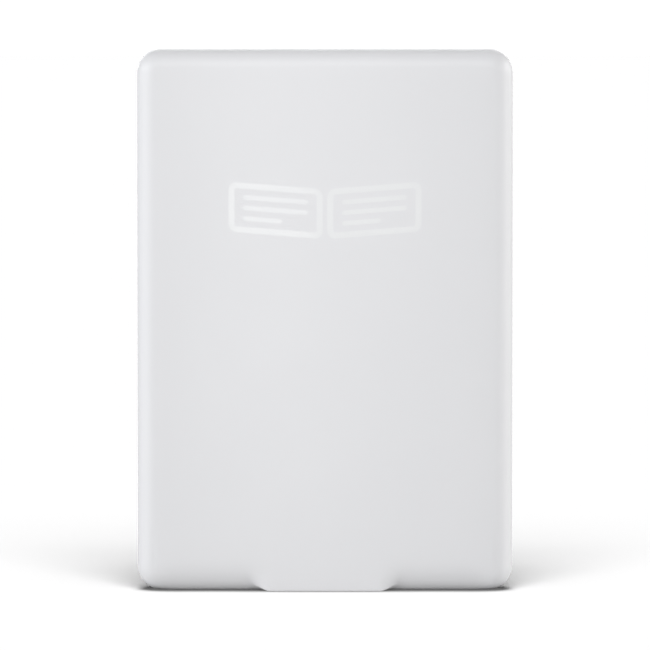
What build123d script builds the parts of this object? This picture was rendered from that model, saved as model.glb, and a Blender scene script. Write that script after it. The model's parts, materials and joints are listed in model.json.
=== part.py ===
from build123d import *
from math import sqrt
import os

# E-reader with a six-inch paper-like screen, as the separate parts that it is put together from.
# X is the width, Y the thickness and Z the height, in millimetres. The rear cover faces -Y and the
# screen faces +Y. The origin is under the middle of the reader, on the surface that it stands on.

# ---------- Whole reader ----------
WIDTH = 117.0
HEIGHT = 169.0
THICKNESS = 9.1
CORNER = 7.4                 # outline radius of the bezel
WALL = 1.2                   # moulded walls
BACK = -THICKNESS / 2
FRONT = THICKNESS / 2
MIDDLE = HEIGHT / 2

# ---------- Where the two shells meet ----------
PARTING = 2.2                # depth of the bezel's rear edge
SEAM = 0.05                  # gap between bezel and rear cover
RIM = 0.35                   # the bezel stands out this far past the rear cover
BACK_RADIUS = 6.5            # rounding of the rear cover's back edge
BEZEL_RADIUS = 0.8           # rounding of the bezel's front edge
BEZEL_REAR_RADIUS = 0.35     # rounding of the bezel's exposed rear edge
WINDOW_BEVEL = 0.45          # slope round the window
SKIRT_INSET = 2.15           # from the outline to the outside of the bezel's inner skirt
SKIRT_WALL = 1.1
SKIRT_REAR = 0.6             # depth that the skirt reaches
SNAP_LENGTH = 6.0            # snaps on the rear cover, which click into windows in the skirt
SNAP_DEPTH = (1.05, 1.5)
SNAP_REACH = 0.4             # how far a snap goes into the skirt
SNAP_PLAY = 0.15
SIDE_SNAPS = [26.0, 65.0, 104.0, 143.0]
END_SNAPS = [-36.0, 36.0]

# ---------- Bottom tab, a flat pad that carries the port and the button ----------
TAB_FLAT = 35.0              # width of the flat pad
TAB_FOOT_LOW = 39.0          # width across its slopes, at the bottom
TAB_FOOT_HIGH = 47.0         # the same, where the slopes run out
TAB_ROOM = 32.4              # width of the space inside
TAB_EDGE = 0.5               # rounding of the pad's lower edge

# ---------- Layers from the front to the back ----------
LIP = 1.0
GASKET = 0.15
TOUCH = 0.3
GUIDE = 0.45
FILM = 0.3
GLASS = 0.7
TAPE = 0.1
PLATE = 0.6
BATTERY_TAPE = 0.15
BATTERY = 3.4
STANDOFF = 0.5
BOARD = 0.8

LIP_REAR = FRONT - LIP
TOUCH_FRONT = LIP_REAR - GASKET
GUIDE_FRONT = TOUCH_FRONT - TOUCH
FILM_FRONT = GUIDE_FRONT - GUIDE
GLASS_FRONT = FILM_FRONT - FILM
TAPE_FRONT = GLASS_FRONT - GLASS
PLATE_FRONT = TAPE_FRONT - TAPE
PLATE_REAR = PLATE_FRONT - PLATE
BATTERY_FRONT = PLATE_REAR - BATTERY_TAPE
BATTERY_REAR = BATTERY_FRONT - BATTERY
BOARD_FRONT = PLATE_REAR - STANDOFF
BOARD_REAR = BOARD_FRONT - BOARD
COVER_INSIDE = BACK + WALL

# ---------- Screen ----------
WINDOW = (91.6, 123.4)       # opening in the bezel
WINDOW_BOTTOM = 29.6
WINDOW_MIDDLE = WINDOW_BOTTOM + WINDOW[1] / 2
PANEL = (101.8, 138.4)       # display glass
PANEL_BOTTOM = 20.5
PANEL_TOP = PANEL_BOTTOM + PANEL[1]
PANEL_MIDDLE = PANEL_BOTTOM + PANEL[1] / 2
TOUCH_SPAN = (22.0, 158.0)   # bottom and top of the touch panel
FILM_SPAN = (28.0, 156.5)    # bottom and top of the display film and the light guide
FILM_WIDTH = 96.6
GUIDE_WIDTH = 98.4
STRIP_SPAN = (24.8, 27.9)    # bottom and top of the strip that carries the front-light diodes

# ---------- Flat cables ----------
CABLE = 0.15                 # thickness
CABLE_BEND = 0.6
CABLE_SLOT = (-28.0, 24.0, 15.2, 18.8)   # slot that the cables pass through: left, right, bottom, top
CABLE_DROP = 17.0            # height at which they turn to the back
CONNECTOR_SPAN = (20.0, 24.4)
CONNECTOR_TALL = 1.1
DISPLAY_CABLE = (0.0, 24.0)  # middle and width
TOUCH_CABLE = (-23.0, 7.0)
LIGHT_CABLE = (20.0, 4.0)

# ---------- Main board ----------
FOOT = (-34.0, 36.0, 3.5, 34.0)          # left, right, bottom, top
COLUMN = (18.0, 51.0, 20.0, 118.0)
BOARD_SCREWS = [(-31.0, 9.0), (-31.0, 30.0), (32.5, 9.0), (48.5, 43.0)]
BOARD_SCREWS += [(21.0, 90.0), (21.0, 115.0), (48.5, 115.0)]
SHIELD = (20.0, 50.0, 48.0, 85.0)
SHIELD_TALL = 1.8
SHIELD_GAP = 0.03            # between the fence and the lid
SHIELD_SKIRT = 1.1           # height of the lid's sides
VENT_RADIUS = 0.6
VENT_INSET = (3.0, 2.5)      # from the shield's sides and ends to the rows of vents
SHEET_METAL = 0.2

# ---------- Chips: middle x, middle z, width, height, thickness ----------
PROCESSOR = (35.0, 74.0, 14.0, 14.0, 1.2)
MEMORY = (35.0, 57.0, 12.0, 11.0, 0.9)
FLASH = (36.0, 94.5, 11.5, 13.0, 1.0)
POWER = (44.0, 28.0, 8.0, 8.0, 0.9)
DISPLAY_POWER = (31.0, 28.0, 7.0, 7.0, 0.9)
CHARGER = (16.0, 10.0, 4.0, 4.0, 0.8)
RADIO = (33.0, 110.5, 12.0, 12.0, 0.5)
RADIO_CAN = (11.2, 1.6)      # width, and height above the board
CRYSTAL = (46.5, 92.0, 3.2, 2.5, 0.7)
SENSOR = (46.5, 99.0, 2.9, 1.6, 1.0)
DIMPLE = (1.2, 0.4, 0.08)    # inset from a chip's corner, radius and depth

# ---------- Small parts: width, height, thickness ----------
COIL = (4.0, 4.0, 1.4)
CAPACITOR = (1.6, 0.8, 0.8)
RESISTOR = (1.0, 0.5, 0.35)
COIL_LINE = (23.5, 41.5, 4)  # first x, last x and how many
COIL_Z = 38.5
CAPACITOR_LINES = [(22.0, 44.0, 8, 44.5), (-26.0, 22.0, 13, 28.0), (29.0, 43.0, 6, 102.6)]
RESISTOR_LINES = [(-26.0, 22.0, 13, 31.0), (-8.0, 10.0, 7, 12.5)]
RESISTOR_COLUMN = (89.0, 99.0, 5)
RESISTOR_COLUMN_X = 27.0
PAD_LINE = (-26.0, -14.0, 6)
PAD_ROWS = (8.0, 11.0)
PAD_RADIUS = 0.6
PAD_TALL = 0.03

# ---------- Battery ----------
CELL = (-47.0, 13.0, 41.0, 119.0)
TERRACE = 3.8                # folded edge of the pouch that the safety board sits on
RIB = 1.0                    # rib on the mid frame round three sides of the battery
RIB_GAP = 1.4
LEAD_DEPTH = -1.05
LEAD_RADIUS = 0.35
LEAD_PITCH = 1.0
PLUG = (17.4, 22.0, 102.2, 105.8)
PLUG_DEPTH = (-1.65, -0.45)
SAFETY_BOARD = (-34.0, -2.0)             # its left and right ends
FOAM_PAD = (44.0, 12.0)
FOAM_HEIGHTS = (60.0, 100.0)

# ---------- Antenna ----------
COAX_RADIUS = 0.4
COAX_BEND = 12.0
COAX_PORT = (44.0, 109.0)
COAX_SOCKET = (1.2, 0.6)     # radius, and height above the board
COAX_CAP = (1.35, 1.4)
COAX_START = 110.4           # height at which the cable leaves the cap
COAX_TURNS = [(37.0, 140.0), (26.0, 152.0)]
ANTENNA_FILM = (38.0, 9.0)
ANTENNA_PLACE = (9.0, 154.5)

# ---------- Bottom edge: port, light and button ----------
PORT_X = 5.5
PORT_SIZE = (7.5, 2.45)
PORT_SPAN = (0.55, 5.9)
PORT_Y = BOARD_REAR - PORT_SIZE[1] / 2
PORT_SHEET = 0.25
PORT_BEVEL = 0.9             # sloped corners that stop a plug going in upside down
PORT_GAP = 0.3               # between the port's shell and its opening in the cover
PORT_FEET = (4.0, 5.6)       # bottom and top of the feet soldered to the board
TONGUE = (3.7, 0.55)
TONGUE_OFFSET = 0.15         # the tongue sits off the port's middle
CONTACT = (0.38, 0.08)       # width and thickness
CONTACT_REACH = 1.3          # from the middle contact to the outermost ones
LAMP_X = -1.6
LAMP_Y = -1.3
LAMP_RADIUS = 0.5
BUTTON_X = -8.5
BUTTON_SIZE = (7.0, 1.9)
BUTTON_FACE = 0.1            # the button sits this far inside the tab's underside
BUTTON_GAP = 0.15
FLANGE_REAR = 1.3            # lower face of the flange that keeps the button in
FLANGE = 0.5
SWITCH_SIZE = (4.7, 1.65, 2.2)
SWITCH_BOTTOM = 3.7
SWITCH_Y = BOARD_REAR - SWITCH_SIZE[1] / 2
PLUNGER_TIP = 2.75
CONTACT_GAP = 0.05           # between the button's stem and the plunger at rest
DOME_RADIUS = 0.6
DOME_RISE = 0.42
DOME_SHEET = 0.06
DOME_SEAT = 5.35             # height of the dome's flat side

# ---------- Screws that hold the frame in the bezel ----------
BOSS_RADIUS = 1.5
SIDE_BOSS_X = 53.1
FRAME_SCREWS = [(side * SIDE_BOSS_X, z) for side in (-1, 1) for z in (18.0, 51.25, 84.5, 117.75, 151.0)]
FRAME_SCREWS += [(side * 42.0, 9.0) for side in (-1, 1)]
FRAME_SCREWS += [(side * 28.0, 162.3) for side in (-1, 1)]
SCREW_RADIUS = 0.68
SCREW_HOLE = 0.72
SCREW_HEAD = (1.3, 0.5)      # radius and height
BOARD_HOLE = 0.85


# ---------- Shapes that are used again and again ----------
def plate(outline, y_low, y_high):
    """Turn an outline, drawn in X and Z, into a plate between two depths."""
    return Pos(0, y_high, 0) * Rot(90, 0, 0) * extrude(outline, y_high - y_low)


def rounded(width, height, radius, x=0.0, z=MIDDLE):
    """A rounded rectangle about a middle point, for plate."""
    return Pos(x, z) * RectangleRounded(width, height, radius)


def inset(distance):
    """The reader's outline, made smaller by a distance all round."""
    return rounded(WIDTH - 2 * distance, HEIGHT - 2 * distance, CORNER - distance)


def area(left, right, bottom, top):
    """A plain rectangle between four edges, for plate."""
    return Pos((left + right) / 2, (bottom + top) / 2) * Rectangle(right - left, top - bottom)


def block(x_span, y_span, z_span):
    """A block between pairs of low and high coordinates."""
    middles = [(low + high) / 2 for low, high in (x_span, y_span, z_span)]
    sizes = [high - low for low, high in (x_span, y_span, z_span)]
    return Pos(*middles) * Box(*sizes)


def about(middle, size):
    """The low and high ends of a span about its middle."""
    return (middle - size / 2, middle + size / 2)


def peg(x, z, radius, y_low, y_high):
    """A round peg along Y."""
    return plate(Pos(x, z) * Circle(radius), y_low, y_high)


def chip(x, z, width, height, thickness, marked=True):
    """A chip on the board's rear side, with a dimple at its first corner."""
    body = block(about(x, width), (BOARD_REAR - thickness, BOARD_REAR), about(z, height))
    if not marked:
        return body
    rear = BOARD_REAR - thickness
    margin, radius, depth = DIMPLE
    dimple = peg(x - width / 2 + margin, z + height / 2 - margin, radius, rear - depth, rear + depth)
    return body - dimple


def row(x_first, x_last, count):
    """Evenly spaced places in a line."""
    return [x_first + (x_last - x_first) * index / (count - 1) for index in range(count)]


def ribbon(points, x, width):
    """A flat cable that follows points in Y and Z."""
    route = FilletPolyline(*[(x, y, z) for y, z in points], radius=CABLE_BEND)
    section = Plane(origin=route @ 0, x_dir=(1, 0, 0), z_dir=route % 0) * Rectangle(width, CABLE)
    return sweep(section, path=route)


def wire(points, radius, bends):
    """A round wire along straight runs joined by arcs."""
    route = FilletPolyline(*points, radius=bends)
    return sweep(Plane(origin=route @ 0, z_dir=route % 0) * Circle(radius), path=route)


def screw(x, z, seat, length):
    """A pan-head screw driven towards +Y, with its head resting at a depth."""
    head_radius, head_height = SCREW_HEAD
    head = peg(x, z, head_radius, seat - head_height, seat)
    head = chamfer(head.faces().sort_by(Axis.Y)[0].edges(), 0.15)
    cross = Rectangle(1.5, 0.35) + Rectangle(0.35, 1.5)
    recess = plate(Pos(x, z) * cross, seat - head_height, seat - 0.2)
    return head + peg(x, z, SCREW_RADIUS, seat, seat + length) - recess


def group(solids):
    """Separate solids that share one node."""
    return Compound(children=list(solids))


# ---------- Rear cover ----------
def edge_depth(z, radius, bottom):
    """Depth of a back-edge rounding at a height above the cover's bottom."""
    rise = min(max(bottom + radius - z, 0), radius)
    return BACK + radius - sqrt(radius ** 2 - rise ** 2)


def tab():
    """The flat pad at the bottom, with slopes that widen upwards."""
    sections = []
    run_out = RIM + BACK_RADIUS
    for z in (0.0, RIM, 1.5, 3.0, 4.8, run_out):
        foot = (TAB_FOOT_LOW + (TAB_FOOT_HIGH - TAB_FOOT_LOW) * z / run_out) / 2
        depth = edge_depth(z, BACK_RADIUS, RIM)
        flat = TAB_FLAT / 2
        side = [(flat, BACK), (foot, depth), (foot, PARTING - SEAM)]
        other = [(-x, y) for x, y in reversed(side)]
        sections.append(Plane.XY.offset(z) * Polygon(*side, *other, align=None))
    body = loft(sections, ruled=True)
    lower_edge = body.edges().filter_by_position(Axis.Z, 0, 0).filter_by_position(Axis.Y, BACK, BACK)
    return fillet(lower_edge, TAB_EDGE)


def port_outline(grow):
    """Outline of the charging port in X and Y, grown by a distance."""
    width, height = PORT_SIZE
    half = width / 2
    right = [(half - PORT_BEVEL, -height / 2), (half, PORT_BEVEL - height / 2), (half, height / 2)]
    left = [(-x, y) for x, y in reversed(right)]
    shape = Polygon(*right, *left, align=None)
    shape = fillet(shape.vertices(), 0.3)
    if grow:
        shape = offset(shape, grow)
    return Pos(PORT_X, PORT_Y) * shape


def pill(size, grow):
    """Outline of the power button in X and Y, grown by a distance."""
    return Pos(BUTTON_X, PORT_Y) * SlotOverall(size[0] + 2 * grow, size[1] + 2 * grow)


def snap_places():
    """Middle, direction along the wall and outward direction of each snap."""
    places = [(side * WIDTH / 2, z, False, side) for side in (-1, 1) for z in SIDE_SNAPS]
    places += [(x, MIDDLE + end * HEIGHT / 2, True, end) for end in (-1, 1) for x in END_SNAPS]
    return places


def snap(place, far, near, length, depths):
    """A block beside the reader's wall, between two distances in from the outline."""
    x, z, along_x, outward = place
    if along_x:
        ends = sorted((z - outward * far, z - outward * near))
        return block(about(x, length), depths, ends)
    ends = sorted((x - outward * far, x - outward * near))
    return block(ends, depths, about(z, length))


def rear_cover():
    """Moulded back shell with the tab, its openings and its snaps."""
    shell = plate(inset(RIM), BACK, PARTING - SEAM)
    shell = fillet(shell.faces().sort_by(Axis.Y)[0].edges(), BACK_RADIUS)
    shell += tab()
    hollow = plate(inset(RIM + WALL), COVER_INSIDE, PARTING)
    hollow = fillet(hollow.faces().sort_by(Axis.Y)[0].edges(), BACK_RADIUS - WALL)
    shell -= hollow
    shell -= block(about(0, TAB_ROOM), (COVER_INSIDE, SKIRT_REAR), (WALL, RIM + BACK_RADIUS))
    shell -= extrude(port_outline(PORT_GAP), WALL)
    shell -= extrude(pill(BUTTON_SIZE, BUTTON_GAP), WALL)
    shell -= extrude(Pos(LAMP_X, LAMP_Y) * Circle(LAMP_RADIUS + 0.1), WALL)
    for place in snap_places():
        shell += snap(place, SKIRT_INSET + SNAP_REACH, RIM + WALL / 2, SNAP_LENGTH, SNAP_DEPTH)
    return shell


# ---------- Bezel ----------
def front_bezel():
    """Front frame with the window, the inner skirt and the screw bosses."""
    body = plate(inset(0), PARTING, FRONT)
    body = fillet(body.faces().sort_by(Axis.Y)[-1].edges(), BEZEL_RADIUS)
    body = fillet(body.faces().sort_by(Axis.Y)[0].edges(), BEZEL_REAR_RADIUS)
    body += plate(inset(SKIRT_INSET), SKIRT_REAR, PARTING)
    body -= plate(inset(SKIRT_INSET + SKIRT_WALL), SKIRT_REAR, LIP_REAR)
    window = plate(rounded(*WINDOW, 1.2, z=WINDOW_MIDDLE), LIP_REAR, FRONT)
    body -= window
    rim = body.faces().sort_by(Axis.Y)[-1].inner_wires()[0].edges()
    body = chamfer(rim, WINDOW_BEVEL)
    low, high = SNAP_DEPTH
    play = (low - SNAP_PLAY, high + SNAP_PLAY)
    for place in snap_places():
        reach = SKIRT_INSET + SKIRT_WALL
        body -= snap(place, reach, SKIRT_INSET, SNAP_LENGTH + 4 * SNAP_PLAY, play)
    for x, z in FRAME_SCREWS:
        body += peg(x, z, BOSS_RADIUS, PLATE_FRONT, LIP_REAR)
        body -= peg(x, z, SCREW_HOLE, PLATE_FRONT, LIP_REAR - 0.2)
    return body


def bezel_gasket():
    """Thin seal between the bezel's lip and the touch panel."""
    width, height = WINDOW
    ring = rounded(width + 7.4, height + 6.6, 3.0, z=WINDOW_MIDDLE)
    ring -= rounded(width + 1.4, height + 1.6, 1.5, z=WINDOW_MIDDLE)
    return plate(ring, TOUCH_FRONT, LIP_REAR)


# ---------- Screen ----------
def touch_panel():
    """Clear touch layer on the very front."""
    bottom, top = TOUCH_SPAN
    return plate(rounded(PANEL[0], top - bottom, 1.0, z=(bottom + top) / 2), GUIDE_FRONT, TOUCH_FRONT)


def light_guide():
    """Clear sheet that spreads the front light."""
    bottom, top = FILM_SPAN
    return plate(rounded(GUIDE_WIDTH, top - bottom, 0.8, z=(bottom + top) / 2), FILM_FRONT, GUIDE_FRONT)


def display_film():
    """Paper-like ink film."""
    bottom, top = FILM_SPAN
    return plate(rounded(FILM_WIDTH, top - bottom, 0.5, z=(bottom + top) / 2), GLASS_FRONT, FILM_FRONT)


def display_backplane():
    """Glass sheet that drives the ink film."""
    return plate(rounded(*PANEL, 0.5, z=PANEL_MIDDLE), TAPE_FRONT, GLASS_FRONT)


def display_adhesive():
    """Frame of double-sided tape that holds the glass on the mid frame."""
    width, height = PANEL
    ring = rounded(width - 2, height - 2, 1.0, z=PANEL_MIDDLE)
    ring -= rounded(width - 18, height - 18, 1.0, z=PANEL_MIDDLE)
    return plate(ring, PLATE_FRONT, TAPE_FRONT)


def display_driver_chip():
    """Long narrow driver chip on the glass border."""
    return block(about(0, 22.0), (GLASS_FRONT, GLASS_FRONT + 0.3), (23.1, 24.4))


def light_leds():
    """Side-firing diodes under the light guide's lower edge."""
    top = STRIP_SPAN[1]
    depths = (FILM_FRONT + 0.02, GUIDE_FRONT - 0.02)
    return group(block(about(x, 3.0), depths, (top - 1.3, top)) for x in row(-34.5, 34.5, 4))


# ---------- Flat cables and their connectors ----------
def cable_route(depth, top):
    """Down the front, back through the slot, and up into the connector."""
    seat = BOARD_REAR - CONNECTOR_TALL / 2
    return [(depth, top), (depth, CABLE_DROP), (seat, CABLE_DROP), (seat, CONNECTOR_SPAN[0] + 1.2)]


def display_flex():
    """Cable from the display glass."""
    x, width = DISPLAY_CABLE
    return ribbon(cable_route(GLASS_FRONT + CABLE / 2, PANEL_BOTTOM + 2.2), x, width)


def touch_flex():
    """Cable from the touch panel."""
    x, width = TOUCH_CABLE
    return ribbon(cable_route(GUIDE_FRONT - CABLE / 2, TOUCH_SPAN[0] + 1.8), x, width)


def light_flex():
    """Strip that carries the front-light diodes, with its own tail."""
    x, width = LIGHT_CABLE
    bottom, top = STRIP_SPAN
    strip = block(about(0, 92.0), (FILM_FRONT - CABLE, FILM_FRONT), (bottom, top))
    return strip + ribbon(cable_route(FILM_FRONT - CABLE / 2, bottom + 0.5), x, width)


def connector(cable):
    """Board connector that a flat cable slides into."""
    x, width = cable
    bottom, top = CONNECTOR_SPAN
    body = chip(x, (bottom + top) / 2, width + 2.0, top - bottom, CONNECTOR_TALL, marked=False)
    rear = BOARD_REAR - CONNECTOR_TALL
    seat = about(rear + CONNECTOR_TALL / 2, CABLE + 0.1)
    mouth = block(about(x, width + 0.4), seat, (bottom, bottom + 1.6))
    latch_line = block(about(x, width + 1.0), (rear, rear + 0.25), (top - 1.2, top - 0.9))
    return body - mouth - latch_line


def display_connector():
    """Connector of the display cable."""
    return connector(DISPLAY_CABLE)


def touch_connector():
    """Connector of the touch cable."""
    return connector(TOUCH_CABLE)


def light_connector():
    """Connector of the front-light cable."""
    return connector(LIGHT_CABLE)


# ---------- Mid frame ----------
def mid_frame():
    """Cast plate that carries the display on its front and the electronics on its rear."""
    body = plate(inset(SKIRT_INSET + SKIRT_WALL + 0.45), PLATE_REAR, PLATE_FRONT)
    left, right, bottom, top = CELL
    rib = area(left - RIB_GAP - RIB, right, bottom - RIB_GAP - RIB, top + TERRACE + RIB_GAP + RIB)
    rib -= area(left - RIB_GAP, right, bottom - RIB_GAP, top + TERRACE + RIB_GAP)
    body += plate(rib, PLATE_REAR - RIB, PLATE_REAR)
    for x, z in BOARD_SCREWS:
        body += peg(x, z, 1.7, BOARD_FRONT, PLATE_REAR)
        body -= peg(x, z, SCREW_HOLE, BOARD_FRONT, PLATE_FRONT)
    for x, z in FRAME_SCREWS:
        body -= peg(x, z, BOARD_HOLE, PLATE_REAR, PLATE_FRONT)
    return body - plate(area(*CABLE_SLOT), PLATE_REAR, PLATE_FRONT)


def frame_screws():
    """Screws through the mid frame into the bezel's bosses."""
    return group(screw(x, z, PLATE_REAR, 2.2) for x, z in FRAME_SCREWS)


def board_screws():
    """Screws through the main board into the mid frame's standoffs."""
    return group(screw(x, z, BOARD_REAR, 1.7) for x, z in BOARD_SCREWS)


# ---------- Main board and what is on it ----------
def main_board():
    """L-shaped circuit board with its screw holes and cable slot."""
    outline = area(*FOOT) + area(*COLUMN)
    outline = fillet(outline.vertices(), 1.0)
    body = plate(outline, BOARD_REAR, BOARD_FRONT)
    for x, z in BOARD_SCREWS:
        body -= peg(x, z, BOARD_HOLE, BOARD_REAR, BOARD_FRONT)
    return body - plate(area(*CABLE_SLOT), BOARD_REAR, BOARD_FRONT)


def processor_chip():
    """Main processor, under the shield."""
    return chip(*PROCESSOR)


def memory_chip():
    """Working memory, under the shield."""
    return chip(*MEMORY)


def flash_chip():
    """Storage for books."""
    return chip(*FLASH)


def power_chip():
    """Power management chip."""
    return chip(*POWER)


def display_power_chip():
    """Chip that makes the display's drive voltages."""
    return chip(*DISPLAY_POWER)


def charger_chip():
    """Battery charger beside the port."""
    return chip(*CHARGER)


def wireless_module():
    """Radio module under its own soldered can."""
    x, z, _, _, base_tall = RADIO
    width, height = RADIO_CAN
    base = chip(*RADIO, marked=False)
    can = block(about(x, width), (BOARD_REAR - height, BOARD_REAR - base_tall), about(z, width))
    return base + fillet(can.edges().filter_by(Axis.Y), 0.6)


def shield_frame():
    """Soldered fence round the processor and the memory."""
    fence = area(*SHIELD)
    left, right, bottom, top = SHIELD
    fence -= area(left + SHEET_METAL, right - SHEET_METAL, bottom + SHEET_METAL, top - SHEET_METAL)
    return plate(fence, BOARD_REAR - SHIELD_TALL + SHEET_METAL, BOARD_REAR)


def shield_lid():
    """Pressed lid that clips over the fence, with a grid of vent holes."""
    left, right, bottom, top = SHIELD
    outer = SHIELD_GAP + SHEET_METAL
    low = BOARD_REAR - SHIELD_TALL
    high = low + SHIELD_SKIRT
    body = plate(area(left - outer, right + outer, bottom - outer, top + outer), low, high)
    inside = area(left - SHIELD_GAP, right + SHIELD_GAP, bottom - SHIELD_GAP, top + SHIELD_GAP)
    body -= plate(inside, low + SHEET_METAL, high)
    side_inset, end_inset = VENT_INSET
    for x in row(left + side_inset, right - side_inset, 6):
        for z in (bottom + end_inset, top - end_inset):
            body -= peg(x, z, VENT_RADIUS, low, low + SHEET_METAL)
    return body


def thermal_pad():
    """Soft pad between the processor and the lid."""
    x, z, width, _, tall = PROCESSOR
    low = BOARD_REAR - SHIELD_TALL + SHEET_METAL
    return plate(rounded(width - 2, width - 2, 0.6, x, z), low, BOARD_REAR - tall)


def clock_crystal():
    """Metal-canned crystal."""
    body = chip(*CRYSTAL, marked=False)
    return fillet(body.edges().filter_by(Axis.Y), 0.4)


def hall_sensor():
    """Sensor that notices the magnet in a folding cover."""
    return chip(*SENSOR, marked=False)


def inductors():
    """Power coils in square shielded bodies."""
    coils = [chip(x, COIL_Z, *COIL, marked=False) for x in row(*COIL_LINE)]
    return group(fillet(coil.edges().filter_by(Axis.Y), 0.5) for coil in coils)


def capacitors():
    """Small ceramic blocks in rows."""
    places = [(x, z) for first, last, count, z in CAPACITOR_LINES for x in row(first, last, count)]
    return group(chip(x, z, *CAPACITOR, marked=False) for x, z in places)


def resistors():
    """Small flat blocks in rows."""
    places = [(x, z) for first, last, count, z in RESISTOR_LINES for x in row(first, last, count)]
    places += [(RESISTOR_COLUMN_X, z) for z in row(*RESISTOR_COLUMN)]
    return group(chip(x, z, *RESISTOR, marked=False) for x, z in places)


def test_pads():
    """Round gold contacts for factory testing."""
    places = [(x, z) for x in row(*PAD_LINE) for z in PAD_ROWS]
    return group(peg(x, z, PAD_RADIUS, BOARD_REAR - PAD_TALL, BOARD_REAR) for x, z in places)


# ---------- Charging port ----------
def usb_shell():
    """Folded metal shell of the micro USB port, with feet on the board."""
    bottom, top = PORT_SPAN
    body = Pos(0, 0, bottom) * extrude(port_outline(0) - port_outline(-PORT_SHEET), top - bottom)
    for side in (-1, 1):
        foot = about(PORT_X + side * (PORT_SIZE[0] / 2 + 0.4), 0.9)
        body += block(foot, (BOARD_REAR - 0.3, BOARD_REAR), PORT_FEET)
    return body


def usb_insulator():
    """Plastic block that closes the back of the port."""
    top = PORT_SPAN[1]
    return Pos(0, 0, top - 0.9) * extrude(port_outline(-PORT_SHEET - 0.01), 0.8)


def usb_tongue():
    """Plastic tongue that the plug slides over."""
    width, thickness = TONGUE
    span = (PORT_SPAN[0] + 0.8, PORT_SPAN[1] - 0.9)
    return block(about(PORT_X, width), about(PORT_Y + TONGUE_OFFSET, thickness), span)


def usb_contacts():
    """Five spring contacts along the tongue."""
    width, thickness = CONTACT
    face = PORT_Y + TONGUE_OFFSET - TONGUE[1] / 2
    depths = (face - thickness, face)
    span = (PORT_SPAN[0] + 1.1, PORT_SPAN[1] - 1.2)
    places = row(PORT_X - CONTACT_REACH, PORT_X + CONTACT_REACH, 5)
    return group(block(about(x, width), depths, span) for x in places)


# ---------- Power button and its switch ----------
def power_button():
    """Pill-shaped cap with a flange that keeps it in and a stem that presses the switch."""
    cap = Pos(0, 0, BUTTON_FACE) * extrude(pill(BUTTON_SIZE, 0), FLANGE_REAR - BUTTON_FACE)
    cap = fillet(cap.faces().sort_by(Axis.Z)[0].edges(), 0.2)
    flange = Pos(0, 0, FLANGE_REAR) * extrude(pill(BUTTON_SIZE, 0.5), FLANGE)
    stem_low = FLANGE_REAR + FLANGE
    stem = block(about(BUTTON_X, 1.8), about(SWITCH_Y, 0.8), (stem_low, PLUNGER_TIP - CONTACT_GAP))
    return cap + flange + stem


def power_switch_plunger():
    """Small plastic pusher of the switch, with a shoulder inside the housing."""
    pusher = block(about(BUTTON_X, 1.5), about(SWITCH_Y, 0.7), (PLUNGER_TIP, SWITCH_BOTTOM + 0.6))
    inner = DOME_SEAT - DOME_RISE - 0.05
    shoulder = block(about(BUTTON_X, 2.1), about(SWITCH_Y, 1.0), (SWITCH_BOTTOM + 0.6, inner))
    return pusher + shoulder


def power_switch_body():
    """Switch housing with a slot for the pusher and a chamber for the dome."""
    width, height, length = SWITCH_SIZE
    body = block(about(BUTTON_X, width), about(SWITCH_Y, height), (SWITCH_BOTTOM, SWITCH_BOTTOM + length))
    body -= block(about(BUTTON_X, 1.7), about(SWITCH_Y, 0.9), (SWITCH_BOTTOM, SWITCH_BOTTOM + 0.5))
    return body - block(about(BUTTON_X, 2.4), about(SWITCH_Y, 1.3), (SWITCH_BOTTOM + 0.5, DOME_SEAT))


def power_switch_dome():
    """Thin metal dome that clicks when the pusher flattens it."""
    ball = (DOME_RADIUS ** 2 + DOME_RISE ** 2) / (2 * DOME_RISE)
    shell = Sphere(ball) - Sphere(ball - DOME_SHEET)
    keep = Pos(0, 0, -ball - (ball - DOME_RISE)) * Box(4 * ball, 4 * ball, 2 * ball)
    return Pos(BUTTON_X, SWITCH_Y, DOME_SEAT + ball - DOME_RISE) * (shell & keep)


# ---------- Status light ----------
def status_led():
    """Side-firing diode at the board's lower edge."""
    return block(about(LAMP_X, 1.6), (BOARD_REAR - 0.9, BOARD_REAR), (FOOT[2] + 0.2, FOOT[2] + 1.0))


def status_light_pipe():
    """Clear rod that brings the light to the outside."""
    rod = Cylinder(LAMP_RADIUS, 3.2, align=(Align.CENTER, Align.CENTER, Align.MIN))
    collar = Cylinder(LAMP_RADIUS + 0.4, 0.4, align=(Align.CENTER, Align.CENTER, Align.MIN))
    return Pos(LAMP_X, LAMP_Y, 0.15) * rod + Pos(LAMP_X, LAMP_Y, WALL + 0.05) * collar


# ---------- Battery ----------
def battery_cell():
    """Flat lithium pouch with the thin terrace that carries its safety board."""
    left, right, bottom, top = CELL
    body = plate(area(*CELL), BATTERY_REAR, BATTERY_FRONT)
    body = fillet(body.edges().filter_by(Axis.Y), 1.5)
    body = fillet(body.faces().sort_by(Axis.Y)[0].edges(), 0.7)
    terrace = area(left + 2.0, right - 2.0, top, top + TERRACE)
    return body + plate(terrace, LEAD_DEPTH + 0.4, LEAD_DEPTH + 0.8)


def battery_protection_board():
    """Safety board on the terrace."""
    top = CELL[3]
    return block(SAFETY_BOARD, about(LEAD_DEPTH, 0.8), (top + 0.3, top + TERRACE - 0.1))


def battery_lead(order):
    """One of the three wires, counted from the top one."""
    start = CELL[3] + 3.0 - LEAD_PITCH * order
    drop = PLUG[0] - 1.1 - LEAD_PITCH * order
    end = (PLUG[2] + PLUG[3]) / 2 + LEAD_PITCH * (1 - order)
    corners = [(SAFETY_BOARD[1], start), (drop, start), (drop, end), (PLUG[0], end)]
    points = [(x, LEAD_DEPTH, z) for x, z in corners]
    return wire(points, LEAD_RADIUS, 0.45)


def battery_lead_red():
    """Positive wire."""
    return battery_lead(0)


def battery_lead_white():
    """Temperature sense wire."""
    return battery_lead(1)


def battery_lead_black():
    """Negative wire."""
    return battery_lead(2)


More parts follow.
